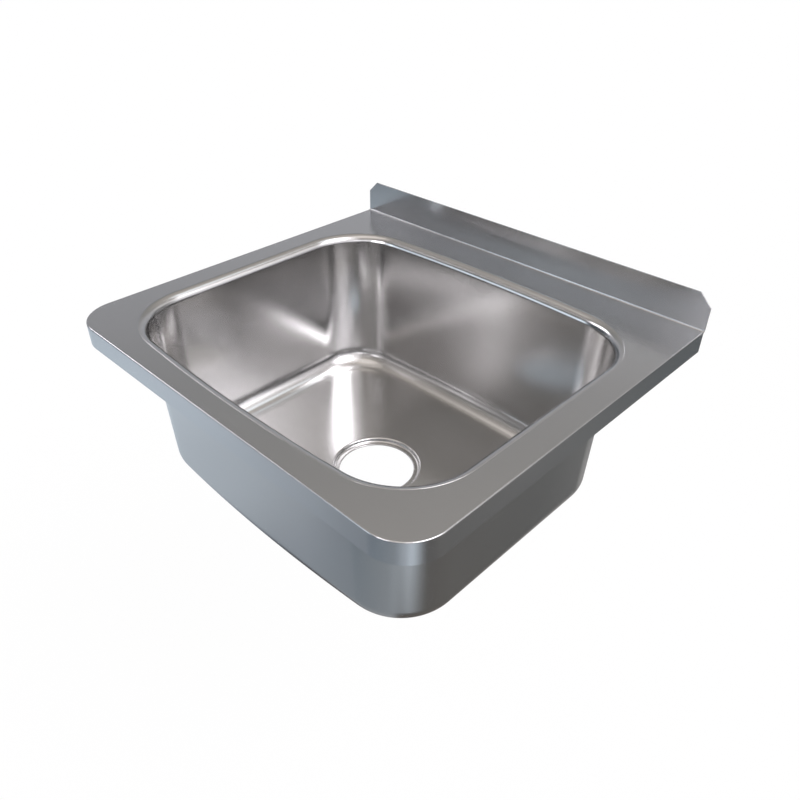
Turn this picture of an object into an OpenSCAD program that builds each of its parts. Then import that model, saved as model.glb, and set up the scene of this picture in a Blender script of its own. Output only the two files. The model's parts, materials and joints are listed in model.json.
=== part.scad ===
// Wall-hung hand wash basin in pressed and folded stainless sheet.
// Millimetres, Z up, the wall is the plane y = 0 and the user stands at -Y.
// The origin is the centre of the wall fixings, on the wall.

/* [Deck] */
// Overall width of the deck
deck_w = 500; // [465:1:620]
// Depth from the wall to the front edge
deck_d = 448; // [440:1:540]
// Thickness of the deck, upstand and apron sheet
deck_t = 1.2; // [0.9:0.1:1.6]
// Plan radius of the two front corners
deck_corner_r = 42; // [20:1:60]
// Height of the upstand above the deck
upstand_h = 41; // [30:1:100]
// Leg of the 45 degree cuts on the upstand's top corners
upstand_cut = 14; // [4:1:20]
// Inside radius of the fold between deck and upstand
upstand_fold_r = 1.8; // [1:0.1:3]
// Height of the apron below the deck's top
apron_h = 24; // [18:1:36]
// Length of the apron's returns along the wall
apron_return = 12; // [8:1:20]

/* [Bowl] */
// Flat deck between the bowl's rim and each side edge
side_margin = 28.4; // [20:0.1:60]
// Flat deck between the bowl's rim and the front edge
front_margin = 22.4; // [18:0.1:60]
// Distance from the wall to the bowl's rim
back_margin = 46.4; // [40:0.1:90]
// Depth of the floor below the deck
bowl_depth = 187.5; // [160:0.5:230]
// Slope of the walls from upright, in degrees
bowl_draft = 2.5; // [1:0.1:4]
// Plan radius of the bowl's corners
bowl_corner_r = 72.5; // [50:0.5:90]
// How far the front and back walls bow outwards at their middle
bowl_bow = 10.5; // [4:0.5:16]
// Radius of the rolled rim
rim_r = 10; // [5:0.5:12]
// Radius between the walls and the floor
floor_r = 24.5; // [15:0.5:32]
// Thickness of the bowl sheet
bowl_t = 1.2; // [0.9:0.1:1.6]

/* [Waste outlet] */
// Diameter of the waste hole
waste_d = 89; // [60:1:92]
// Width of the flat seat round the waste hole
seat_w = 4.2; // [3:0.1:8]
// Depth of the pressed seat below the floor
seat_depth = 4.6; // [4:0.1:7]

/* [Wall bracket] */
// Distance from the deck's side edge to the end of the hanger and rail
bracket_margin = 70; // [40:1:90]
// Thickness of the bracket steel
bracket_t = 2; // [1.5:0.1:2.5]
// Inside radius of the bracket folds
bracket_r = 1; // [0.5:0.1:1.5]
// Depth of the hanger's flange under the deck
hanger_flange = 26; // [20:1:30]
// Drop from the deck's top to the rail's shoulder
hook_drop = 42; // [38:1:46]
// Clear width between the wall and the rail's lip
hook_throat = 7; // [6.5:0.1:8]
// Play between the hanger's leg and the rail's lip
hook_play = 1; // [0.8:0.1:1.4]
// Height of the rail's lip above its shoulder
lip_h = 22; // [20:1:26]

/* [Wall fixings] */
// Distance from the rail's end to the middle of its slots
slot_end = 40; // [20:1:60]
// Distance from the rail's shoulder down to the upper slots
slot_drop = 16; // [12:1:24]
// Distance between the two rows of slots
fixing_pitch_z = 32; // [28:1:36]
// Width of a slot
slot_w = 8.5; // [6.5:0.5:9]
// Length of a slot from end to end
slot_l = 18; // [12:0.5:24]
// Steel below the lower row of slots
rail_margin = 14; // [10:1:20]

/* [Clamp screws] */
// Thread diameter of the clamp screws
screw_d = 6; // [5:0.5:6]
// Length of a screw under its head
screw_l = 18; // [16:1:22]
// Distance of each screw from the rail's end
screw_end = 50; // [20:1:80]
// Width across the flats of the weld nuts and screw heads
hex_af = 10; // [9:0.5:11]
// Height of a weld nut
nut_h = 5; // [4:0.5:6]
// Height of a screw head
head_h = 4; // [3:0.5:5]

/* [Rear stays] */
// Distance of each stay inwards from the start of the bowl's corner
stay_inset = 29.5; // [16:0.5:60]
// Gap between the rail and the stays below it
stay_gap = 10; // [4:1:20]
// Height of a stay
stay_h = 40; // [30:1:46]
// Width of a stay's flanges
stay_w = 26; // [20:1:32]
// Diameter of the rubber buffers
buffer_d = 22; // [16:1:24]
// Height of a buffer between the stay and the wall
buffer_h = 6; // [4:0.5:8]
// Radius of a buffer's rounded nose
buffer_r = 1; // [0.5:0.1:1.5]

/* [Damping pad] */
// Distance from the edge of the flat floor to the pad
pad_margin = 36; // [20:1:50]
// Thickness of the pad
pad_t = 2.5; // [2:0.1:3]
// Corner radius of the pad
pad_r = 24; // [10:1:40]
// Clear ring between the waste seat and the pad
pad_clear = 12; // [6:1:20]

/* [Hidden] */

// Overrun of the cutting shapes
over = 1;
// Ground weld line between the bowl's rim and the deck
weld_gap = 0.2;
// Clearance of pieces that are welded or bonded on a curved wall
seat_gap = 0.2;

// Segments of the bowl: a corner, half a bowed side, the rim roll and the floor radius
corner_steps = 12;
bow_steps = 4;
rim_steps = 7;
floor_steps = 7;
fine_fn = 128;
bow_fn = 1440;

// Plan of the bowl at the deck plane: two bowed sides, two straight ones, four round corners
rim_inset = -rim_r * (cos(bowl_draft) - tan(bowl_draft) * (1 - sin(bowl_draft)));
rim_d = (deck_d - front_margin - back_margin) / 2;
half_w = deck_w / 2 - side_margin + rim_inset;
half_d = rim_d + rim_inset;
bowl_setback = back_margin + rim_d;
bow_r = (half_w * half_w + bowl_bow * bowl_bow) / (2 * bowl_bow);
bow_y = half_d - bow_r;
corner_x = half_w - bowl_corner_r;
corner_y = bow_y + sqrt(pow(bow_r - bowl_corner_r, 2) - corner_x * corner_x);
corner_a = atan2(corner_y - bow_y, corner_x);

// Inset of the flat floor's edge from that plan
floor_inset = (bowl_depth - floor_r * (1 - sin(bowl_draft))) * tan(bowl_draft)
            + floor_r * cos(bowl_draft);

// Waste seat, pressed as an S of two equal arcs
waste_r = waste_d / 2;
seat_r = seat_depth / 2;
seat_edge_r = waste_r + seat_w + 2 * seat_r;
floor_cut_r = seat_edge_r + seat_r;

// Bracket widths
bracket_w = deck_w - 2 * bracket_margin;
fixing_pitch_x = bracket_w - 2 * slot_end;
screw_x = bracket_w / 2 - screw_end;
stay_x = corner_x - stay_inset;

// Heights, with the fixings at zero
rim_z = hook_drop + slot_drop + fixing_pitch_z / 2;
shoulder_z = rim_z - hook_drop;
rail_foot_z = -fixing_pitch_z / 2 - rail_margin;
leg_y = -(hook_throat - hook_play);
lip_y = -(hook_throat + bracket_t);
hanger_y = leg_y - hanger_flange;
screw_z = shoulder_z + lip_h / 2;
stay_z = rail_foot_z - stay_gap - stay_h / 2;
pad_z = rim_z - bowl_depth - bowl_t;
foot_y = -buffer_h;
pad_w = 2 * (half_w - floor_inset - pad_margin);
pad_d = 2 * (half_d - floor_inset - pad_margin);

deck_finish = "lightsteelblue";
bowl_finish = "silver";
bracket_finish = "slategray";
fastener_finish = "gainsboro";
rubber_finish = "dimgray";

// Point and outward direction on the plan of the bowl, one quarter at a time
function corner_dirs() = [for (i = [0:corner_steps]) corner_a * i / corner_steps];
function bow_dirs() = [for (i = [1:bow_steps]) corner_a + (90 - corner_a) * i / bow_steps];
function quarter() = concat(
    [for (a = corner_dirs())
        [corner_x + bowl_corner_r * cos(a), corner_y + bowl_corner_r * sin(a), cos(a), sin(a)]],
    [for (a = bow_dirs()) [bow_r * cos(a), bow_y + bow_r * sin(a), cos(a), sin(a)]]
);
function flipped(pts, sx, sy) = [for (p = pts) [sx * p[0], sy * p[1], sx * p[2], sy * p[3]]];
function reversed(pts) = [for (i = [len(pts) - 1:-1:0]) pts[i]];
function without_first(pts) = [for (i = [1:len(pts) - 1]) pts[i]];
function plan() = let (q = quarter()) concat(
    q,
    without_first(reversed(flipped(q, -1, 1))),
    flipped(q, -1, -1),
    without_first(reversed(flipped(q, 1, -1)))
);

// Inset and height of the bowl's section at a depth t into the sheet: rim, wall, floor radius
function section(t) = concat(
    [for (i = [0:rim_steps]) let (a = (90 - bowl_draft) * i / rim_steps)
        [rim_inset + (rim_r - t) * sin(a), (rim_r - t) * cos(a) - rim_r]],
    [for (i = [0:floor_steps]) let (a = bowl_draft + (90 - bowl_draft) * i / floor_steps)
        [floor_inset - (floor_r + t) * cos(a), floor_r - bowl_depth - (floor_r + t) * sin(a)]]
);

// Y of the bowl's outer back wall, at a distance x from the middle and a height z
function back_y(x, z) = let (inset = (rim_z - z) * tan(bowl_draft) - bowl_t / cos(bowl_draft))
    -bowl_setback + bow_y + sqrt(pow(bow_r - inset, 2) - x * x);
function back_turn(x) = asin(x / bow_r);

// A skin lofted through one closed ring for each point of a section
module loft(rings) {
    n = len(rings[0]);
    m = len(rings);
    polyhedron(
        points = [for (ring = rings) each ring],
        faces = concat(
            [[for (i = [n - 1:-1:0]) i]],
            [for (k = [0:m - 2], i = [0:n - 1])
                [k * n + i, k * n + (i + 1) % n, (k + 1) * n + (i + 1) % n, (k + 1) * n + i]],
            [[for (i = [0:n - 1]) (m - 1) * n + i]]
        )
    );
}

// The bowl's plan as true arcs, grown outwards by a margin
module bowl_plan(grow) {
    w = half_w + grow;
    tip = [(bow_r + grow) * cos(corner_a), bow_y + (bow_r + grow) * sin(corner_a)];
    top = half_d + grow;
    intersection() {
        polygon([
            [w, -corner_y], [w, corner_y], tip, [tip[0], top],
            [-tip[0], top], [-tip[0], tip[1]], [-w, corner_y], [-w, -corner_y],
            [-tip[0], -tip[1]], [-tip[0], -top], [tip[0], -top], [tip[0], -tip[1]]
        ]);
        translate([0, bow_y]) circle(r = bow_r + grow, $fn = bow_fn);
        translate([0, -bow_y]) circle(r = bow_r + grow, $fn = bow_fn);
    }
    for (sx = [-1, 1], sy = [-1, 1])
        translate([sx * corner_x, sy * corner_y]) circle(r = bowl_corner_r + grow, $fn = fine_fn);
}

// Plan of the deck inside a margin, open towards the wall
module deck_plan(inset) {
    r = deck_corner_r - inset;
    w = deck_w - 2 * inset;
    front = -deck_d + inset;
    translate([-w / 2, front + r]) square([w, -front - r]);
    translate([-w / 2 + r, front]) square([w - 2 * r, r + over]);
    for (sx = [-1, 1]) translate([sx * (w / 2 - r), front + r]) circle(r = r, $fn = fine_fn);
}

// A quarter of a flat ring, from the direction +X round to +Y
module bend(r_in, r_out) {
    intersection() {
        difference() {
            circle(r = r_out, $fn = fine_fn);
            circle(r = r_in, $fn = fine_fn);
        }
        square(r_out);
    }
}

// A rounded rectangle about the origin
module rounded_plate(w, d, r) {
    square([w - 2 * r, d], center = true);
    square([w, d - 2 * r], center = true);
    for (sx = [-1, 1], sy = [-1, 1])
        translate([sx * (w / 2 - r), sy * (d / 2 - r)]) circle(r = r, $fn = fine_fn);
}

// Lays a section drawn as [y, z] along X
module along_x(length) {
    translate([-length / 2, 0, 0]) rotate([90, 0, 90]) linear_extrude(length) children();
}

// Deck and upstand folded from one sheet
module deck_panel() {
    r_out = upstand_fold_r + deck_t;
    color(deck_finish) translate([0, 0, rim_z]) difference() {
        union() {
            translate([0, 0, -deck_t]) linear_extrude(deck_t) difference() {
                intersection() {
                    deck_plan(deck_t);
                    translate([-deck_w / 2, -deck_d]) square([deck_w, deck_d - r_out]);
                }
                translate([0, -bowl_setback]) bowl_plan(weld_gap - rim_inset);
            }
            along_x(deck_w) translate([-r_out, upstand_fold_r])
                mirror([0, 1]) bend(upstand_fold_r, r_out);
            translate([0, 0, upstand_fold_r]) rotate([90, 0, 0]) linear_extrude(deck_t) polygon([
                [-deck_w / 2, 0], [deck_w / 2, 0],
                [deck_w / 2, upstand_h - upstand_fold_r - upstand_cut],
                [deck_w / 2 - upstand_cut, upstand_h - upstand_fold_r],
                [-deck_w / 2 + upstand_cut, upstand_h - upstand_fold_r],
                [-deck_w / 2, upstand_h - upstand_fold_r - upstand_cut]
            ]);
        }
        for (sx = [-1, 1]) translate([sx * deck_w / 2, -r_out / 2, -deck_t])
            cube([2 * deck_t, r_out + over, 2 * deck_t], center = true);
    }
}

// Section of the apron, its outer face at zero and its top edge ground round
module apron_section() {
    translate([-deck_t, -apron_h]) square([deck_t, apron_h - deck_t]);
    translate([-deck_t, -deck_t]) intersection() {
        circle(r = deck_t, $fn = fine_fn);
        square(deck_t);
    }
}

// Strip rolled round the front and sides, turned in along the wall at both ends
module apron_strip() {
    fold = upstand_fold_r + deck_t;
    side = deck_d - deck_corner_r - fold;
    return_h = apron_h - deck_t - seat_gap;
    color(deck_finish) translate([0, 0, rim_z]) {
        translate([-deck_w / 2 + deck_corner_r, -deck_d, 0]) rotate([90, 0, 90])
            linear_extrude(deck_w - 2 * deck_corner_r) mirror([1, 0]) apron_section();
        for (sx = [0, 1]) mirror([sx, 0, 0]) {
            translate([deck_w / 2, -fold, 0]) rotate([90, 0, 0])
                linear_extrude(side) apron_section();
            translate([deck_w / 2 - deck_corner_r, -deck_d + deck_corner_r, 0]) rotate([0, 0, -90])
                rotate_extrude(angle = 90, $fn = fine_fn)
                    translate([deck_corner_r, 0]) apron_section();
            translate([deck_w / 2 - fold, -fold, -apron_h])
                linear_extrude(return_h) bend(upstand_fold_r, fold);
            translate([deck_w / 2 - apron_return, -deck_t, -apron_h])
                cube([apron_return - fold, deck_t, return_h]);
        }
    }
}

// Half section of the pressed seat as [radius, height] from the bowl's floor
module seat_section() {
    ledge = -seat_depth;
    bend_x = waste_r + seat_w;
    wall_x = bend_x + seat_r;
    translate([waste_r, ledge - bowl_t]) square([seat_w, bowl_t]);
    translate([bend_x, ledge + seat_r]) mirror([0, 1]) bend(seat_r, seat_r + bowl_t);
    translate([wall_x + seat_r, -seat_r]) mirror([1, 0]) bend(seat_r - bowl_t, seat_r);
    translate([wall_x + seat_r, -bowl_t]) square([floor_cut_r - wall_x - seat_r, bowl_t]);
}

// Deep-drawn bowl with a rolled rim, sloped walls and a pressed waste seat
module bowl() {
    ring_plan = plan();
    path = concat(reversed(section(0)), section(bowl_t));
    color(bowl_finish) translate([0, -bowl_setback, rim_z]) {
        difference() {
            loft([for (s = path) [for (p = ring_plan) [p[0] - s[0] * p[2], p[1] - s[0] * p[3], s[1]]]]);
            translate([0, 0, -bowl_depth - bowl_t - over])
                cylinder(r = floor_cut_r, h = bowl_t + 2 * over, $fn = fine_fn);
        }
        translate([0, 0, -bowl_depth]) rotate_extrude($fn = fine_fn) seat_section();
    }
}

// Sound-damping pad bonded under the floor, open round the waste seat
module damping_pad() {
    color(rubber_finish) translate([0, -bowl_setback, pad_z - pad_t]) linear_extrude(pad_t)
        difference() {
            rounded_plate(pad_w, pad_d, pad_r);
            circle(r = seat_edge_r + pad_clear, $fn = fine_fn);
        }
}

// Angle welded under the deck, whose leg hooks behind the rail's lip
module hanger_angle() {
    r_out = bracket_r + bracket_t;
    top = rim_z - deck_t;
    color(bracket_finish) along_x(bracket_w) {
        translate([leg_y, shoulder_z]) square([bracket_t, top - r_out - shoulder_z]);
        translate([leg_y - bracket_r, top - r_out]) bend(bracket_r, r_out);
        translate([hanger_y, top - bracket_t]) square([leg_y - bracket_r - hanger_y, bracket_t]);
    }
}

// Rail screwed to the wall: a slotted plate, a shoulder and an upright lip
module wall_rail() {
    r_out = bracket_r + bracket_t;
    plate_top = shoulder_z - r_out;
    color(bracket_finish) difference() {
        along_x(bracket_w) {
            translate([-bracket_t, rail_foot_z]) square([bracket_t, plate_top - rail_foot_z]);
            translate([-r_out, plate_top]) bend(bracket_r, r_out);
            translate([lip_y + r_out, shoulder_z - bracket_t])
                square([-lip_y - 2 * r_out, bracket_t]);
            translate([lip_y + r_out, shoulder_z + bracket_r])
                mirror([1, 0]) mirror([0, 1]) bend(bracket_r, r_out);
            translate([lip_y, shoulder_z + bracket_r]) square([bracket_t, lip_h - bracket_r]);
        }
        for (sx = [-1, 1], sz = [-1, 1])
            translate([sx * fixing_pitch_x / 2, over, sz * fixing_pitch_z / 2]) rotate([90, 0, 0])
                linear_extrude(bracket_t + 2 * over) slot();
        for (sx = [-1, 1]) translate([sx * screw_x, lip_y - over, screw_z]) rotate([-90, 0, 0])
            cylinder(d = screw_d + 2 * seat_gap, h = bracket_t + 2 * over, $fn = fine_fn);
    }
}

// Outline of a fixing slot
module slot() {
    square([slot_l - slot_w, slot_w], center = true);
    for (sx = [-1, 1]) translate([sx * (slot_l - slot_w) / 2, 0]) circle(d = slot_w, $fn = fine_fn);
}

// A hexagon from its width across the flats
module hex(af) {
    circle(d = af / cos(30), $fn = 6);
}

// Nuts welded on the front of the rail's lip
module weld_nuts() {
    color(fastener_finish) for (sx = [-1, 1])
        translate([sx * screw_x, lip_y, screw_z]) rotate([90, 0, 0]) linear_extrude(nut_h)
            difference() {
                hex(hex_af);
                circle(d = screw_d, $fn = fine_fn);
            }
}

// Screws that clamp the hanger's leg, so that the basin can't be lifted off
module clamp_screws() {
    color(fastener_finish) for (sx = [-1, 1])
        translate([sx * screw_x, leg_y, screw_z]) rotate([90, 0, 0]) {
            cylinder(d = screw_d, h = screw_l, $fn = fine_fn);
            translate([0, 0, screw_l]) linear_extrude(head_h) hex(hex_af);
        }
}

// Folded bracket between the bowl's back wall and a buffer on the wall
module stay() {
    low = stay_z - stay_h / 2;
    high = stay_z + stay_h / 2;
    foot = foot_y - bracket_t;
    face_low = back_y(stay_x, low) + seat_gap;
    face_high = back_y(stay_x, high) + seat_gap;
    middle = (face_low + face_high) / 2;
    translate([stay_x - stay_w / 2, foot, low]) cube([stay_w, bracket_t, stay_h]);
    translate([stay_x - stay_w / 2, 0, 0]) rotate([90, 0, 90]) linear_extrude(bracket_t)
        polygon([
            [face_low + bracket_t, low], [foot + bracket_t, low],
            [foot + bracket_t, high], [face_high + bracket_t, high]
        ]);
    translate([stay_x, middle, 0]) rotate([90, 0, 90 - back_turn(stay_x)])
        translate([0, 0, -stay_w / 2]) linear_extrude(stay_w) polygon([
            [face_low - middle, low], [face_low - middle + bracket_t, low],
            [face_high - middle + bracket_t, high], [face_high - middle, high]
        ]);
}

module left_stay() {
    color(bracket_finish) mirror([1, 0, 0]) stay();
}

module right_stay() {
    color(bracket_finish) stay();
}

// Rubber buffer with a rounded nose against the wall
module buffer(x) {
    translate([x, foot_y, stay_z]) rotate([-90, 0, 0]) rotate_extrude($fn = fine_fn) {
        square([buffer_d / 2, buffer_h - buffer_r]);
        square([buffer_d / 2 - buffer_r, buffer_h]);
        translate([buffer_d / 2 - buffer_r, buffer_h - buffer_r]) bend(0, buffer_r);
    }
}

module left_buffer() {
    color(rubber_finish) buffer(-stay_x);
}

module right_buffer() {
    color(rubber_finish) buffer(stay_x);
}

deck_panel();
apron_strip();
bowl();
damping_pad();
hanger_angle();
wall_rail();
weld_nuts();
clamp_screws();
left_stay();
right_stay();
left_buffer();
right_buffer();
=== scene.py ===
import json
import math

import bmesh
import bpy
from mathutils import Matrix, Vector

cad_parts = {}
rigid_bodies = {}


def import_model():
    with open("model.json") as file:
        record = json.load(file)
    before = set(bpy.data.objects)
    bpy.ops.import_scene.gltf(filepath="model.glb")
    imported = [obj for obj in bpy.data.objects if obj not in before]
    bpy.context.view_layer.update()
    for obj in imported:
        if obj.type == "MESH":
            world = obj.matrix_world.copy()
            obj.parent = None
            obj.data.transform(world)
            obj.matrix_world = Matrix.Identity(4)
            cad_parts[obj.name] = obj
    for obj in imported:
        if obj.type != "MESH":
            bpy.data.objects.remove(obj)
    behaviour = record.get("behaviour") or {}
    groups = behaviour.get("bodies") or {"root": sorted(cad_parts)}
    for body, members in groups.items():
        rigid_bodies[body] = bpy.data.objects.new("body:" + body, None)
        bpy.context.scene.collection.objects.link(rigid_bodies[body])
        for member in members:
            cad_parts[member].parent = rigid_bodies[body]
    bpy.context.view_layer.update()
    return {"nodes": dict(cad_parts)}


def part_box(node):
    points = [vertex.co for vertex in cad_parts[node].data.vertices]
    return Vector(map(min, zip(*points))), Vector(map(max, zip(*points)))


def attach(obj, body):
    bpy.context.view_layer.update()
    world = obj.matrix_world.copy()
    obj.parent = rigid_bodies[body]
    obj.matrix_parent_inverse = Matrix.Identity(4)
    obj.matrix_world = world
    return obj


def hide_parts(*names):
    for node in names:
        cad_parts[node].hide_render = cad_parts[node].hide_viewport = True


for leftover in list(bpy.data.objects):
    bpy.data.objects.remove(leftover)
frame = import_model()
mm = 0.001
sheet = 1.2 * mm

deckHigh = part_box("deck_panel")[1]
apronLow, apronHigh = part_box("apron_strip")
bowlLow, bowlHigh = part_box("bowl")
rimZ = apronHigh.z  # the deck's top
deckWidth = apronHigh.x - apronLow.x
deckFront = apronLow.y


# Small helpers for node trees and meshes
def addNode(tree, kind, inputs=None, **settings):
    node = tree.nodes.new(kind)
    for name, value in settings.items():
        setattr(node, name, value)
    for name, value in (inputs or {}).items():
        plug(tree, value, node.inputs[name])
    return node


def plug(tree, value, socket):
    if isinstance(value, bpy.types.NodeSocket):
        tree.links.new(value, socket)
    else:
        socket.default_value = value


def calc(tree, operation, first, second=0.0):
    node = tree.nodes.new("ShaderNodeMath")
    node.operation = operation
    plug(tree, first, node.inputs[0])
    plug(tree, second, node.inputs[1])
    return node.outputs[0]


def newObject(name, data):
    thing = bpy.data.objects.new(name, data)
    bpy.context.scene.collection.objects.link(thing)
    return thing


def newPiece(name, mesh, material):
    mesh.name = name
    piece = newObject(name, mesh)
    mesh.materials.clear()
    mesh.materials.append(material)
    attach(piece, "root")
    return piece


def smoothed(mesh, sharpAngle):
    mesh.shade_smooth()
    mesh.set_sharp_from_angle(angle=math.radians(sharpAngle))


def evenShade(piece):
    piece.modifiers.new("evenShade", "WEIGHTED_NORMAL").keep_sharp = True


def thicken(piece):
    wall = piece.modifiers.new("sheet", "SOLIDIFY")
    wall.thickness, wall.offset, wall.use_even_offset = sheet, -1, True


def bakedMesh(source):
    mesh = bpy.data.meshes.new_from_object(source.evaluated_get(bpy.context.evaluated_depsgraph_get()))
    bpy.data.objects.remove(source)
    return mesh


def filledMesh(name, bm):
    mesh = bpy.data.meshes.new(name)
    bm.to_mesh(mesh)
    bm.free()
    return mesh


def ringPairs(items):
    return zip(items, items[1:] + items[:1])


def arcPoints(centre, radius, fromAngle, toAngle, steps):
    angles = [math.radians(fromAngle + (toAngle - fromAngle) * i / steps) for i in range(steps + 1)]
    return [(centre[0] + radius * math.cos(a), centre[1] + radius * math.sin(a)) for a in angles]


# The photograph's viewpoint, solved from the deck's outline
cameraView = {
    "place": (0.4899, -0.7072, 0.4573),
    "azimuth": 44.80,
    "elevation": 35.31,
    "lens": 33.26,
    "sensor": 36,
    "shift": (0.0131, 0.0045),
    "clip": (0.01, 60),
}


def makeCamera(view):
    data = bpy.data.cameras.new("photoCamera")
    data.lens = view["lens"]
    data.sensor_width = view["sensor"]
    data.shift_x, data.shift_y = view["shift"]
    data.clip_start, data.clip_end = view["clip"]
    camera = newObject("photoCamera", data)
    turn, lift = math.radians(view["azimuth"]), math.radians(view["elevation"])
    back = Vector((math.sin(turn) * math.cos(lift), -math.cos(turn) * math.cos(lift), math.sin(lift)))
    camera.location = view["place"]
    camera.rotation_mode = "QUATERNION"
    camera.rotation_quaternion = (-back).to_track_quat("-Z", "Y")
    bpy.context.scene.camera = camera


makeCamera(cameraView)
bpy.context.scene.view_settings.view_transform = "Standard"
print("camera ready")


def newMaterial(name):
    material = bpy.data.materials.new(name)
    material.use_nodes = True
    return material, material.node_tree


def blendedTint(tree, share, first, second):
    tint = addNode(tree, "ShaderNodeMix", {"Factor": share}, data_type="RGBA")
    tint.inputs["A"].default_value = (*first, 1)
    tint.inputs["B"].default_value = (*second, 1)
    return tint.outputs["Result"]


# Satin stainless steel: fine scratches along one direction, soft cloudy wear in the roughness
steelGrain = {
    "grainDetail": 2.0,
    "grainRoughness": 0.55,
    "cloudDetail": 3.0,
    "cloudRoughness": 0.5,
    "cloudRange": (0.3, 0.7),
    "bumpDistance": 0.02 * mm,
}


def steelMaterial(name, look):
    material, tree = newMaterial(name)
    shader = tree.nodes["Principled BSDF"]
    shader.inputs["Metallic"].default_value = 1.0
    place = addNode(tree, "ShaderNodeTexCoord").outputs["Object"]
    brushed = addNode(tree, "ShaderNodeMapping", {"Vector": place, "Scale": look["grainScale"]})
    grain = addNode(tree, "ShaderNodeTexNoise", {
        "Vector": brushed.outputs[0], "Scale": 1.0,
        "Detail": steelGrain["grainDetail"], "Roughness": steelGrain["grainRoughness"]})
    cloud = addNode(tree, "ShaderNodeTexNoise", {
        "Vector": place, "Scale": look["cloudScale"],
        "Detail": steelGrain["cloudDetail"], "Roughness": steelGrain["cloudRoughness"]})
    tint = blendedTint(tree, cloud.outputs["Fac"], look["darkTint"], look["lightTint"])
    tree.links.new(tint, shader.inputs["Base Color"])
    cloudLow, cloudHigh = steelGrain["cloudRange"]
    polish = addNode(tree, "ShaderNodeMapRange", {
        "Value": cloud.outputs["Fac"], "From Min": cloudLow, "From Max": cloudHigh,
        "To Min": look["roughness"] - look["wear"], "To Max": look["roughness"] + look["wear"]})
    scratched = calc(tree, "MULTIPLY_ADD", grain.outputs["Fac"], look["scratch"])
    scratched.node.inputs[2].default_value = -look["scratch"] / 2
    tree.links.new(calc(tree, "ADD", polish.outputs[0], scratched), shader.inputs["Roughness"])
    bump = addNode(tree, "ShaderNodeBump", {
        "Height": grain.outputs["Fac"], "Strength": look["bump"], "Distance": steelGrain["bumpDistance"]})
    tree.links.new(bump.outputs[0], shader.inputs["Normal"])
    return material


# Matt black rubber: a fine pebbled skin under a patchy film of dust
rubberSkin = {
    "pebbleScale": 900.0,
    "pebbleDetail": 2.0,
    "pebbleStrength": 0.4,
    "pebbleHeight": 0.1 * mm,
    "dustScale": 18.0,
    "dustDetail": 3.0,
    "dustLift": 1.6,
    "roughness": 0.75,
}


def rubberMaterial(name, colour):
    material, tree = newMaterial(name)
    shader = tree.nodes["Principled BSDF"]
    place = addNode(tree, "ShaderNodeTexCoord").outputs["Object"]
    pebble = addNode(tree, "ShaderNodeTexNoise", {
        "Vector": place, "Scale": rubberSkin["pebbleScale"], "Detail": rubberSkin["pebbleDetail"]})
    dust = addNode(tree, "ShaderNodeTexNoise", {
        "Vector": place, "Scale": rubberSkin["dustScale"], "Detail": rubberSkin["dustDetail"]})
    dusty = tuple(c * rubberSkin["dustLift"] for c in colour)
    tree.links.new(blendedTint(tree, dust.outputs["Fac"], colour, dusty), shader.inputs["Base Color"])
    shader.inputs["Roughness"].default_value = rubberSkin["roughness"]
    bump = addNode(tree, "ShaderNodeBump", {
        "Height": pebble.outputs["Fac"], "Strength": rubberSkin["pebbleStrength"],
        "Distance": rubberSkin["pebbleHeight"]})
    tree.links.new(bump.outputs[0], shader.inputs["Normal"])
    return material


deckLook = {
    "darkTint": (0.585, 0.585, 0.59), "lightTint": (0.615, 0.615, 0.62), "roughness": 0.22, "wear": 0.015,
    "scratch": 0.03, "bump": 0.015, "grainScale": (40, 1900, 1900), "cloudScale": 7.0}
deckSteel = steelMaterial("satinDeckSteel", deckLook)
apronSteel = steelMaterial("satinApronSteel", {**deckLook, "grainScale": (40, 40, 1900)})
bowlSteel = steelMaterial("satinBowlSteel", {
    "darkTint": (0.585, 0.58, 0.575), "lightTint": (0.615, 0.61, 0.605), "roughness": 0.2, "wear": 0.015,
    "scratch": 0.03, "bump": 0.002, "grainScale": (90, 90, 1900), "cloudScale": 9.0})
bracketSteel = steelMaterial("millBracketSteel", {
    "darkTint": (0.46, 0.46, 0.46), "lightTint": (0.54, 0.54, 0.54), "roughness": 0.42, "wear": 0.05,
    "scratch": 0.08, "bump": 0.3, "grainScale": (40, 1800, 1800), "cloudScale": 22.0})
fastenerSteel = steelMaterial("turnedFastenerSteel", {
    "darkTint": (0.50, 0.50, 0.50), "lightTint": (0.58, 0.58, 0.58), "roughness": 0.3, "wear": 0.04,
    "scratch": 0.06, "bump": 0.3, "grainScale": (900, 3000, 900), "cloudScale": 60.0})
padRubber = rubberMaterial("dampingRubber", (0.028, 0.028, 0.03))
bufferRubber = rubberMaterial("bufferRubber", (0.022, 0.022, 0.022))
print("materials ready")

# The bowl's outline at the deck plane: bowed front and back, straight sides, round corners
bowlPlan = {
    "rimRadius": 10 * mm,
    "draft": math.radians(2.5),
    "cornerRadius": 72.5 * mm,
    "bow": 10.5 * mm,
    "cornerSteps": 28,
    "bowSteps": 14,
    "weldGap": 0.02 * mm,
    "sharpAngle": 40,
}
draft = bowlPlan["draft"]
rimReach = bowlPlan["rimRadius"] * (math.cos(draft) - math.tan(draft) * (1 - math.sin(draft)))
bowlCentre = (bowlLow.y + bowlHigh.y) / 2
halfWidth = bowlHigh.x - rimReach
halfDepth = bowlHigh.y - bowlCentre - rimReach


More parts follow.
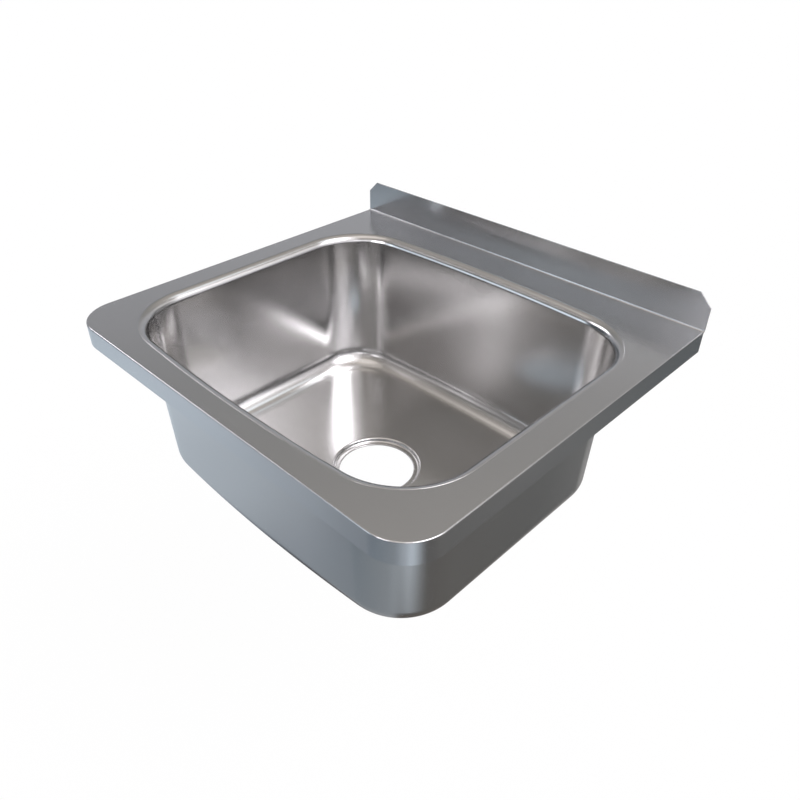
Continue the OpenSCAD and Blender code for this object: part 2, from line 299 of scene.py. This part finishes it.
def outlinePoints(grow):
    radius, bow = bowlPlan["cornerRadius"], bowlPlan["bow"]
    bowRadius = (halfWidth ** 2 + bow ** 2) / (2 * bow)
    bowY = halfDepth - bowRadius
    cornerX = halfWidth - radius
    cornerY = bowY + math.sqrt((bowRadius - radius) ** 2 - cornerX ** 2)
    turn = math.degrees(math.atan2(cornerY - bowY, cornerX))
    quarter = arcPoints((cornerX, cornerY), radius + grow, 0, turn, bowlPlan["cornerSteps"])
    quarter += arcPoints((0, bowY), bowRadius + grow, turn, 90, bowlPlan["bowSteps"])[1:]
    left = [(-x, y) for x, y in reversed(quarter)][1:]
    upper = quarter + left
    lower = [(-x, -y) for x, y in upper]
    return [(x, bowlCentre + y) for x, y in upper + lower]


def closedCurve(name, points, z):
    data = bpy.data.curves.new(name, "CURVE")
    data.dimensions = "3D"
    spline = data.splines.new("POLY")
    spline.points.add(len(points) - 1)
    for point, (x, y) in zip(spline.points, points):
        point.co = (x, y, z, 1)
    spline.use_cyclic_u = True
    return newObject(name, data)


# The drawn skin: one section (rim roll, wall, floor radius) swept round the outline, a flat floor
# with a round cut, and the pressed seat swept round the waste hole
seatDepth = 4.6 * mm
skinSizes = {
    "Rim Radius": bowlPlan["rimRadius"],
    "Draft": draft,
    "Depth": rimZ - bowlLow.z - seatDepth - sheet,
    "Floor Radius": 24.5 * mm,
    "Waste Radius": 44.5 * mm,
    "Seat Width": 4.2 * mm,
    "Seat Depth": seatDepth,
    "Seat Radius": 2.3 * mm,
}
skinSteps = {
    "rim": 20,
    "wall": 24,
    "floorBend": 26,
    "seatBend": 12,
    "seatFlat": 5,
    "hole": 160,
}


def sizedTree(name, start, sizes, result):
    tree = bpy.data.node_groups.new(name, "GeometryNodeTree")
    face = tree.interface
    face.new_socket(start, in_out="INPUT", socket_type="NodeSocketGeometry")
    for size in sizes:
        face.new_socket(size, in_out="INPUT", socket_type="NodeSocketFloat")
    face.new_socket("Finish", in_out="INPUT", socket_type="NodeSocketMaterial")
    face.new_socket(result, in_out="OUTPUT", socket_type="NodeSocketGeometry")
    return tree, addNode(tree, "NodeGroupInput").outputs


def moved(tree, geometry, x=0.0, y=0.0, z=0.0):
    spot = addNode(tree, "ShaderNodeCombineXYZ", {"X": x, "Y": y, "Z": z})
    return addNode(tree, "GeometryNodeTransform", {
        "Geometry": geometry, "Translation": spot.outputs[0]}).outputs[0]


def circle(tree, corners, radius):
    return addNode(tree, "GeometryNodeCurvePrimitiveCircle", {
        "Resolution": corners, "Radius": radius}).outputs["Curve"]


def straightLine(tree, start, end, count):
    ends = [addNode(tree, "ShaderNodeCombineXYZ", spot).outputs[0] for spot in (start, end)]
    straight = addNode(tree, "GeometryNodeCurvePrimitiveLine", {"Start": ends[0], "End": ends[1]})
    return addNode(tree, "GeometryNodeResampleCurve", {
        "Curve": straight.outputs[0], "Count": count}, mode="COUNT").outputs[0]


def joined(tree, *parts):
    node = addNode(tree, "GeometryNodeJoinGeometry")
    for part in parts:
        tree.links.new(part, node.inputs[0])
    return node.outputs[0]


def finishTree(tree, geometry, finish, result):
    solid = addNode(tree, "GeometryNodeRealizeInstances", {"Geometry": geometry})
    finished = addNode(tree, "GeometryNodeSetMaterial", {"Geometry": solid.outputs[0], "Material": finish})
    tree.links.new(finished.outputs[0], addNode(tree, "NodeGroupOutput").inputs[result])


def bowlTree():
    tree, sizes = sizedTree("drawnBowl", "Outline", skinSizes, "Skin")
    rim, lean, depth, bend = sizes["Rim Radius"], sizes["Draft"], sizes["Depth"], sizes["Floor Radius"]
    waste, seatWidth, seatDrop, seatBend = (
        sizes["Waste Radius"], sizes["Seat Width"], sizes["Seat Depth"], sizes["Seat Radius"])
    quarter = math.pi / 2

    def arc(x, y, radius, start, sweep, steps):
        bow = addNode(tree, "GeometryNodeCurveArc", {
            "Resolution": steps, "Radius": radius, "Start Angle": start, "Sweep Angle": sweep})
        return moved(tree, bow.outputs["Curve"], x, y)

    def line(x0, y0, x1, y1, steps):
        return straightLine(tree, {"X": x0, "Y": y0}, {"X": x1, "Y": y1}, steps)

    def negative(value):
        return calc(tree, "MULTIPLY", value, -1.0)

    def levelPath(curve):
        return addNode(tree, "GeometryNodeSetCurveNormal", {"Curve": curve}, mode="Z_UP").outputs[0]

    def sweep(path, profile):  # a profile's Y lies downwards on a path whose normals stay level
        upright = addNode(tree, "GeometryNodeTransform", {"Geometry": profile, "Scale": (1, -1, 1)})
        return addNode(tree, "GeometryNodeCurveToMesh", {
            "Curve": path, "Profile Curve": upright.outputs[0], "Fill Caps": False}).outputs[0]

    sine, cosine, slope = (calc(tree, operation, lean) for operation in ("SINE", "COSINE", "TANGENT"))
    shortfall = calc(tree, "SUBTRACT", 1.0, sine)
    rimShare = calc(tree, "SUBTRACT", cosine, calc(tree, "MULTIPLY", slope, shortfall))
    rimX = calc(tree, "MULTIPLY", rim, rimShare)
    rimY = negative(rim)
    wallTopX = calc(tree, "SUBTRACT", rimX, calc(tree, "MULTIPLY", rim, cosine))
    wallTopY = calc(tree, "ADD", rimY, calc(tree, "MULTIPLY", rim, sine))
    bendDrop = calc(tree, "SUBTRACT", depth, calc(tree, "MULTIPLY", bend, shortfall))
    bendReach = calc(tree, "MULTIPLY", bend, cosine)
    floorX = negative(calc(tree, "ADD", calc(tree, "MULTIPLY", bendDrop, slope), bendReach))
    floorY = calc(tree, "SUBTRACT", bend, depth)
    wallEndX = calc(tree, "ADD", floorX, bendReach)
    wallEndY = negative(bendDrop)
    arcSweep = calc(tree, "SUBTRACT", quarter, lean)
    section = joined(
        tree,
        arc(rimX, rimY, rim, quarter, arcSweep, skinSteps["rim"]),
        line(wallTopX, wallTopY, wallEndX, wallEndY, skinSteps["wall"]),
        arc(floorX, floorY, bend, -quarter, arcSweep, skinSteps["floorBend"]))
    outline = levelPath(sizes["Outline"])
    walls = sweep(outline, section)

    # The floor is filled between the outline, moved in by the section's reach, and the seat
    seatEdge = calc(tree, "ADD", calc(tree, "ADD", waste, seatWidth), calc(tree, "MULTIPLY", seatBend, 2.0))
    inward = addNode(tree, "ShaderNodeVectorMath", {
        0: addNode(tree, "GeometryNodeInputNormal").outputs[0], "Scale": floorX}, operation="SCALE")
    floorEdge = addNode(tree, "GeometryNodeSetPosition", {"Geometry": outline, "Offset": inward.outputs[0]})
    seatRing = moved(tree, circle(tree, skinSteps["hole"], seatEdge), y=bowlCentre)
    floorRings = joined(tree, floorEdge.outputs[0], seatRing)
    floorFace = addNode(tree, "GeometryNodeFillCurve", {"Curve": floorRings})
    floorLevel = calc(tree, "SUBTRACT", rimZ, depth)
    floor = moved(tree, floorFace.outputs[0], z=floorLevel)

    # Seat section, measured out from the waste hole's edge
    rootY = calc(tree, "SUBTRACT", seatBend, seatDrop)
    edgeX = calc(tree, "ADD", calc(tree, "ADD", seatWidth, seatBend), seatBend)
    below = negative(seatDrop)
    seatSection = joined(
        tree,
        arc(edgeX, negative(seatBend), seatBend, quarter, quarter, skinSteps["seatBend"]),
        arc(seatWidth, rootY, seatBend, -quarter, quarter, skinSteps["seatBend"]),
        line(seatWidth, below, 0.0, below, skinSteps["seatFlat"]))
    hole = moved(tree, circle(tree, skinSteps["hole"], waste), y=bowlCentre, z=floorLevel)
    seat = sweep(levelPath(hole), seatSection)
    finishTree(tree, joined(tree, walls, floor, seat), sizes["Finish"], "Skin")
    return tree


def grownMesh(source, tree, values):
    modifier = source.modifiers.new("grow", "NODES")
    modifier.node_group = tree
    for item in tree.interface.items_tree:
        if item.in_out == "INPUT" and item.name in values:
            modifier[item.identifier] = values[item.name]
    return bakedMesh(source)


# Walls, floor and seat become one skin whose inside, the side that holds water, faces up
def weldSkin(mesh):
    bm = bmesh.new()
    bm.from_mesh(mesh)
    bmesh.ops.remove_doubles(bm, verts=bm.verts, dist=bowlPlan["weldGap"])
    bmesh.ops.recalc_face_normals(bm, faces=bm.faces)
    lowest = min(bm.faces, key=lambda f: (f.calc_center_median().z, -f.calc_area()))
    if lowest.normal.z <= 0:
        bmesh.ops.reverse_faces(bm, faces=bm.faces)
    bm.to_mesh(mesh)
    bm.free()


def makeBowl():
    outline = closedCurve("bowlOutline", outlinePoints(0), rimZ)
    mesh = grownMesh(outline, bowlTree(), {**skinSizes, "Finish": bowlSteel})
    weldSkin(mesh)
    smoothed(mesh, bowlPlan["sharpAngle"])
    bowl = newPiece("drawn_bowl", mesh, bowlSteel)
    thicken(bowl)
    evenShade(bowl)
    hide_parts("bowl")


makeBowl()
print("bowl drawn")

# The folded sheet: flat deck with the bowl's opening, fold and upstand with cut corners
deckSheet = {
    "cornerRadius": 42 * mm,
    "cornerSteps": 24,
    "foldRadius": 1.8 * mm,
    "foldSteps": 8,
    "cornerCut": 14 * mm,
    "edgeRound": 0.25 * mm,
    "roundSteps": 3,
    "edgeAngle": 0.6,  # radians; the upstand's free edges turn more than this
    "sharpAngle": 35,
}
deckFold = deckSheet["foldRadius"] + sheet


def deckBlank():
    cut, half = deckSheet["cornerCut"], deckWidth / 2
    columns = [-half, -half + sheet, -half + cut, half - cut, half - sheet, half]
    bm = bmesh.new()
    rows = []
    for step in range(deckSheet["foldSteps"] + 1):
        angle = math.pi / 2 * step / deckSheet["foldSteps"]
        y = -deckFold + deckSheet["foldRadius"] * math.sin(angle)
        z = rimZ + deckSheet["foldRadius"] * (1 - math.cos(angle))
        rows.append([bm.verts.new((x, y, z)) for x in columns])
    rows.append([bm.verts.new((x, -sheet, deckHigh.z - cut)) for x in columns])
    for low, high in zip(rows, rows[1:]):
        for corners in zip(low, low[1:], high[1:], high):
            bm.faces.new(corners)
    last = rows[-1]
    topLeft = bm.verts.new((columns[2], -sheet, deckHigh.z))
    topRight = bm.verts.new((columns[3], -sheet, deckHigh.z))
    bm.faces.new((last[0], last[1], last[2], topLeft))
    bm.faces.new((last[2], last[3], topRight, topLeft))
    bm.faces.new((last[3], last[4], last[5], topRight))
    radius = deckSheet["cornerRadius"] - sheet
    inner, front = half - deckSheet["cornerRadius"], deckFront + deckSheet["cornerRadius"]
    right = arcPoints((inner, front), radius, 0, -90, deckSheet["cornerSteps"])
    border = right + [(-x, y) for x, y in reversed(right)]
    loop = [rows[0][4]] + [bm.verts.new((x, y, rimZ)) for x, y in border] + rows[0][1:4]
    edges = [bm.edges.get(pair) or bm.edges.new(pair) for pair in ringPairs(loop)]
    opening = [bm.verts.new((x, y, rimZ)) for x, y in outlinePoints(rimReach)]
    edges += [bm.edges.new(pair) for pair in ringPairs(opening)]
    bmesh.ops.triangle_fill(bm, use_beauty=True, edges=edges)
    bmesh.ops.recalc_face_normals(bm, faces=bm.faces)
    flat = max(bm.faces, key=lambda f: f.calc_area() * abs(f.normal.z))
    if flat.normal.z < 0:
        bmesh.ops.reverse_faces(bm, faces=bm.faces)
    blank = newObject("deckBlank", filledMesh("deckBlank", bm))
    thicken(blank)
    return bakedMesh(blank)


def makeDeck():
    solid = deckBlank()
    bm = bmesh.new()
    bm.from_mesh(solid)
    free = [e for e in bm.edges if len(e.link_faces) == 2 and e.calc_face_angle() > deckSheet["edgeAngle"]
            and min(v.co.z for v in e.verts) > rimZ + deckFold]
    bmesh.ops.bevel(bm, geom=free, offset=deckSheet["edgeRound"], segments=deckSheet["roundSteps"],
                    profile=0.5, affect="EDGES")
    bm.to_mesh(solid)
    bm.free()
    smoothed(solid, deckSheet["sharpAngle"])
    deck = newPiece("folded_deck", solid, deckSteel)
    evenShade(deck)
    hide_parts("deck_panel")


makeDeck()
print("deck folded")

# The apron: one strip rolled round front and sides, its top edge ground round into the deck
apronStrip = {
    "height": apronHigh.z - apronLow.z,
    "returnLength": 12 * mm,
    "returnDrop": 1.4 * mm,
    "returnSteps": 8,
    "edgeRound": 0.25 * mm,
    "footSteps": 4,
    "roundSteps": 10,
    "sharpAngle": 35,
}


def sweepProfile(bm, path, profile):
    rings = []
    for (x, y), (nx, ny) in path:
        rings.append([bm.verts.new((x + nx * out, y + ny * out, z)) for out, z in profile])
    for near, far in zip(rings, rings[1:]):
        for (nearLow, nearHigh), (farLow, farHigh) in zip(ringPairs(near), ringPairs(far)):
            bm.faces.new((nearLow, nearHigh, farHigh, farLow))
    bm.faces.new(rings[0])
    bm.faces.new(rings[-1])


def roundedFoot(bottom):
    radius, steps = apronStrip["edgeRound"], apronStrip["footSteps"]
    outer = arcPoints((-radius, bottom + radius), radius, 0, -90, steps)
    inner = arcPoints((-sheet + radius, bottom + radius), radius, -90, -180, steps)
    return outer + inner


# Places along an arc with the directions that point away from its centre
def arcPath(centre, radius, fromAngle, toAngle, steps):
    return list(zip(arcPoints(centre, radius, fromAngle, toAngle, steps),
                    arcPoints((0, 0), 1, fromAngle, toAngle, steps)))


def mirrored(path):
    return [((-x, y), (-nx, ny)) for (x, y), (nx, ny) in path]


def makeApron():
    half, corner = deckWidth / 2, deckSheet["cornerRadius"]
    bottom = rimZ - apronStrip["height"]
    foot = roundedFoot(bottom)
    bm = bmesh.new()
    right = [((half, -deckFold), (1, 0))]
    right += arcPath((half - corner, deckFront + corner), corner, 0, -90, deckSheet["cornerSteps"])
    top = arcPoints((-sheet, rimZ - sheet), sheet, 90, 0, apronStrip["roundSteps"])
    sweepProfile(bm, right + mirrored(reversed(right)), top + foot)
    returnTop = rimZ - apronStrip["returnDrop"]
    bend = arcPath((half - deckFold, -deckFold), deckFold, 0, 90, apronStrip["returnSteps"])
    bend.append(((half - apronStrip["returnLength"], 0), (0, 1)))
    for path in (mirrored(bend), bend):
        sweepProfile(bm, path, [(-sheet, returnTop), (0, returnTop)] + foot)
    bmesh.ops.recalc_face_normals(bm, faces=bm.faces)
    mesh = filledMesh("rolled_apron", bm)
    smoothed(mesh, apronStrip["sharpAngle"])
    apron = newPiece("rolled_apron", mesh, apronSteel)
    evenShade(apron)
    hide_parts("apron_strip")


makeApron()
print("apron rolled")

# The clamp screws: one screw with a rolled thread and a chamfered hexagon head, repeated at both ends
screwLow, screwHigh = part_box("clamp_screws")
screwLength = 18 * mm
screwFlats = screwHigh.z - screwLow.z
screwSizes = {
    "Thread": 6 * mm,
    "Length": screwLength,
    "Head": screwHigh.y - screwLow.y - screwLength,
    "Flats": screwFlats,
    "Pitch": 1 * mm,
    "Ridge": 0.35 * mm,
    "Spread": screwHigh.x - screwFlats / math.sqrt(3),
    "Tip": screwHigh.y,
    "Level": (screwHigh.z + screwLow.z) / 2,
}
screwShape = {
    "along": 21,
    "round": 32,
    "hexagon": 6,
    "turn": 24,
    "ridge": 3,
    "chamferFrom": 0.42,
    "headChamfer": 0.05,
    "sharpAngle": 30,
}


def screwTree():
    tree, sizes = sizedTree("clampScrew", "Blank", screwSizes, "Screws")

    def times(value, factor):
        return calc(tree, "MULTIPLY", value, factor)

    def post(corners, radius, low, high, chamfer):
        path = straightLine(tree, {"Z": low}, {"Z": high}, screwShape["along"])
        along = addNode(tree, "GeometryNodeSplineParameter").outputs["Factor"]
        fromMiddle = calc(tree, "ABSOLUTE", calc(tree, "SUBTRACT", along, 0.5))
        slim = addNode(tree, "ShaderNodeMapRange", {
            "Value": fromMiddle, "From Min": screwShape["chamferFrom"], "From Max": 0.5,
            "To Min": 1.0, "To Max": 1 - chamfer})
        return addNode(tree, "GeometryNodeCurveToMesh", {
            "Curve": path, "Profile Curve": circle(tree, corners, radius), "Scale": slim.outputs[0],
            "Fill Caps": True}).outputs[0]

    half = times(sizes["Thread"], 0.5)
    root = calc(tree, "SUBTRACT", half, sizes["Ridge"])
    shank = post(screwShape["round"], root, 0.0, sizes["Length"], 0.0)
    top = calc(tree, "ADD", sizes["Length"], sizes["Head"])
    corners = times(sizes["Flats"], 1 / math.sqrt(3))
    head = post(screwShape["hexagon"], corners, sizes["Length"], top, screwShape["headChamfer"])
    reach = calc(tree, "SUBTRACT", sizes["Length"], times(sizes["Pitch"], 2.0))
    helix = addNode(tree, "GeometryNodeCurveSpiral", {
        "Resolution": screwShape["turn"], "Rotations": calc(tree, "DIVIDE", reach, sizes["Pitch"]),
        "Start Radius": root, "End Radius": root, "Height": reach})
    thread = addNode(tree, "GeometryNodeCurveToMesh", {
        "Curve": helix.outputs[0], "Profile Curve": circle(tree, screwShape["ridge"], sizes["Ridge"]),
        "Fill Caps": True})
    screw = joined(tree, shank, head, moved(tree, thread.outputs[0], z=sizes["Pitch"]))
    ends = [addNode(tree, "ShaderNodeCombineXYZ", {
        "X": x, "Y": sizes["Tip"], "Z": sizes["Level"]}).outputs[0]
        for x in (times(sizes["Spread"], -1.0), sizes["Spread"])]
    places = addNode(tree, "GeometryNodeMeshLine", {
        "Count": 2, "Start Location": ends[0], "Offset": ends[1]}, mode="END_POINTS")
    pair = addNode(tree, "GeometryNodeInstanceOnPoints", {
        "Points": places.outputs[0], "Instance": screw, "Rotation": (math.pi / 2, 0, 0)})
    finishTree(tree, pair.outputs[0], sizes["Finish"], "Screws")
    return tree


def makeScrews():
    blank = newObject("screwBlank", bpy.data.meshes.new("screwBlank"))
    mesh = grownMesh(blank, screwTree(), {**screwSizes, "Finish": fastenerSteel})
    smoothed(mesh, screwShape["sharpAngle"])
    screws = newPiece("threaded_clamp_screws", mesh, fastenerSteel)
    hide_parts("clamp_screws")


makeScrews()
print("screws threaded")

# The bracket, its nuts and the rubber keep their CAD shapes
for nodeName, finish in (
    ("hanger_angle", bracketSteel), ("wall_rail", bracketSteel), ("left_stay", bracketSteel),
    ("right_stay", bracketSteel), ("weld_nuts", fastenerSteel),
    ("damping_pad", padRubber), ("left_buffer", bufferRubber), ("right_buffer", bufferRubber),
):
    for holder in frame["nodes"][nodeName].material_slots:
        holder.material = finish
print("bracket finished")

# A pale floor well below the basin, and a studio that the camera doesn't see: a grey dome that is
# lighter overhead, and soft boxes. Each box stands toward an azimuth, from the user's side round by the
# right, and an elevation, and reaches so far across and up from there, all in degrees. Light is red,
# green and blue, where 1 is white
studio = {
    "floorDrop": 0.85,
    "floorSize": 30.0,
    "centre": (0, deckFront / 2, 0),
    "floorTone": (0.8, 0.8, 0.8),
    "shadowShare": 0.05,
    "dome": (0.11, 0.123, 0.133),
    "towardsRight": (0.125, 0.11, 0.095),
    "towardsBack": (0.05, 0.053, 0.053),
    "towardsTop": (0.27, 0.248, 0.226),
    "crown": (0.29, 0.245, 0.204),
}
daylight, sky, warm = (1, 0.98, 1.04), (0.88, 1, 1.12), (1.06, 1, 0.97)
softBoxes = {
    "frontWindow": {"toward": (0, 21), "reach": (11, 7.5), "edge": 4, "light": 9, "tint": daylight},
    "leftStrip": {"toward": (291, 32), "reach": (21, 3.5), "edge": 4, "light": 7, "tint": daylight},
    "rightWall": {"toward": (85, 40), "reach": (42, 40), "edge": 13, "light": 0.85, "tint": daylight},
    "rightHigh": {"toward": (95, 50), "reach": (25, 15), "edge": 4, "light": 5, "tint": daylight},
    "rightStrip": {"toward": (34, 22), "reach": (16, 2), "edge": 5, "light": 4, "tint": daylight},
    "rearBand": {"toward": (130, 28), "reach": (45, 5), "edge": 8, "light": 0.65, "tint": daylight},
    "leftLow": {"toward": (285, -36), "reach": (35, 15), "edge": 12, "light": 0.54, "tint": sky},
    "leftBand": {"toward": (280, -22), "reach": (36, 6), "edge": 11, "light": 0.48, "tint": sky},
    "rightLow": {"toward": (55, -31), "reach": (11, 15), "edge": 15, "light": 0.8, "tint": sky},
    "rightBand": {"toward": (116, -24), "reach": (16, 4.5), "edge": 5, "light": 1.25, "tint": warm},
    "frontLeft": {"toward": (333, 4), "reach": (5, 13), "edge": 7, "light": 3.6, "tint": sky},
    "frontHigh": {"toward": (20, 41), "reach": (7, 6.5), "edge": 6, "light": 0.4, "tint": daylight},
    "overhead": {"toward": (332, 77), "reach": (65, 17), "edge": 4, "light": 0.48, "tint": warm},
    "rearHigh": {"toward": (145, 61), "reach": (13, 8), "edge": 5, "light": 1.1, "tint": sky},
    "rearLeft": {"toward": (227, 10), "reach": (51, 19), "edge": 8, "light": 0.31, "tint": daylight},
    "frontLow": {"toward": (0, -53), "reach": (42, 41), "edge": 8, "light": 0.28, "tint": sky},
    "rearLow": {"toward": (175, -57), "reach": (23, 25), "edge": 7, "light": 0.23, "tint": warm},
    "leftFloor": {"toward": (290, -60), "reach": (45, 32), "edge": 10, "light": 0.07, "tint": daylight},
}


def vector(tree, operation, first, second):
    node = tree.nodes.new("ShaderNodeVectorMath")
    node.operation = operation
    plug(tree, first, node.inputs[0])
    plug(tree, second, node.inputs["Scale" if operation == "SCALE" else 1])
    return node.outputs[0]


def boxShare(tree, angle, middle, half, edge):
    away = calc(tree, "SUBTRACT", angle, math.radians(middle))
    turned = calc(tree, "WRAP", away, math.pi)
    turned.node.inputs[2].default_value = -math.pi
    return addNode(tree, "ShaderNodeMapRange", {
        "Value": calc(tree, "ABSOLUTE", turned), "From Min": math.radians(half + edge),
        "From Max": math.radians(half - edge)}, interpolation_type="SMOOTHSTEP").outputs[0]


def studioShade():
    tree = bpy.data.node_groups.new("studioShade", "ShaderNodeTree")
    tree.interface.new_socket("Direction", in_out="INPUT", socket_type="NodeSocketVector")
    tree.interface.new_socket("Light", in_out="OUTPUT", socket_type="NodeSocketVector")
    direction = addNode(tree, "NodeGroupInput").outputs["Direction"]
    right, back, up = addNode(tree, "ShaderNodeSeparateXYZ", {"Vector": direction}).outputs
    azimuth = calc(tree, "ARCTAN2", right, calc(tree, "MULTIPLY", back, -1.0))
    elevation = calc(tree, "ARCSINE", up)
    light = vector(tree, "ADD", vector(tree, "SCALE", studio["towardsRight"], right), studio["dome"])
    for name, share in (("towardsBack", back), ("towardsTop", up), ("crown", calc(tree, "POWER", up, 2.0))):
        light = vector(tree, "ADD", light, vector(tree, "SCALE", studio[name], share))
    light = vector(tree, "MAXIMUM", light, (0, 0, 0))
    for box in softBoxes.values():
        across, upward = (
            boxShare(tree, angle, middle, reach, box["edge"])
            for angle, middle, reach in zip((azimuth, elevation), box["toward"], box["reach"]))
        share = calc(tree, "MULTIPLY", calc(tree, "MULTIPLY", across, upward), box["light"])
        light = vector(tree, "ADD", light, vector(tree, "SCALE", box["tint"], share))
    tree.links.new(light, addNode(tree, "NodeGroupOutput").inputs["Light"])
    return tree


# Camera and transmission rays see a white floor and backdrop, and glossy rays see the studio on both
def seenWhite(tree):
    path = addNode(tree, "ShaderNodeLightPath").outputs
    return calc(tree, "MAXIMUM", path["Is Camera Ray"], path["Is Transmission Ray"]), path["Is Glossy Ray"]


def blended(tree, share, first, second):
    node = addNode(tree, "ShaderNodeMixShader", {"Fac": share})
    tree.links.new(first, node.inputs[1])
    tree.links.new(second, node.inputs[2])
    return node.outputs[0]


def makeFloor(shade):
    half, z = studio["floorSize"] / 2, rimZ - studio["floorDrop"]
    mesh = bpy.data.meshes.new("studioFloor")
    corners = [(-half, -half, z), (half, -half, z), (half, half, z), (-half, half, z)]
    mesh.from_pydata(corners, [], [(0, 1, 2, 3)])
    floor = newObject("studioFloor", mesh)
    material, tree = newMaterial("paleFloor")
    tree.nodes.remove(tree.nodes["Principled BSDF"])
    matt = addNode(tree, "ShaderNodeBsdfDiffuse", {"Color": (*studio["floorTone"], 1)}).outputs[0]
    place = addNode(tree, "ShaderNodeTexCoord").outputs["Object"]
    fromBasin = vector(tree, "SUBTRACT", place, studio["centre"])
    direction = addNode(tree, "ShaderNodeVectorMath", {0: fromBasin}, operation="NORMALIZE").outputs[0]
    lit = addNode(tree, "ShaderNodeGroup", {"Direction": direction}, node_tree=shade)
    pale = addNode(tree, "ShaderNodeEmission", {"Color": lit.outputs["Light"]}).outputs[0]
    white = addNode(tree, "ShaderNodeEmission", {"Strength": 1.0}).outputs[0]
    seen, glossy = seenWhite(tree)
    shadowed = blended(tree, studio["shadowShare"], white, matt)
    surface = blended(tree, seen, blended(tree, glossy, matt, pale), shadowed)
    tree.links.new(surface, tree.nodes["Material Output"].inputs["Surface"])
    material.cycles.emission_sampling = "NONE"
    mesh.materials.append(material)


def makeWorld(shade):
    world = bpy.data.worlds.new("studioWorld")
    bpy.context.scene.world = world
    world.use_nodes = True
    world.cycles.sampling_method = "NONE"
    tree = world.node_tree
    direction = addNode(tree, "ShaderNodeTexCoord").outputs["Generated"]
    lit = addNode(tree, "ShaderNodeGroup", {"Direction": direction}, node_tree=shade)
    dome = tree.nodes["Background"]
    tree.links.new(lit.outputs["Light"], dome.inputs["Color"])
    backdrop = addNode(tree, "ShaderNodeBackground", {"Color": (1, 1, 1, 1), "Strength": 1.0}).outputs[0]
    surface = blended(tree, seenWhite(tree)[0], dome.outputs[0], backdrop)
    tree.links.new(surface, tree.nodes["World Output"].inputs["Surface"])


studioLight = studioShade()
makeFloor(studioLight)
makeWorld(studioLight)
print("studio ready")
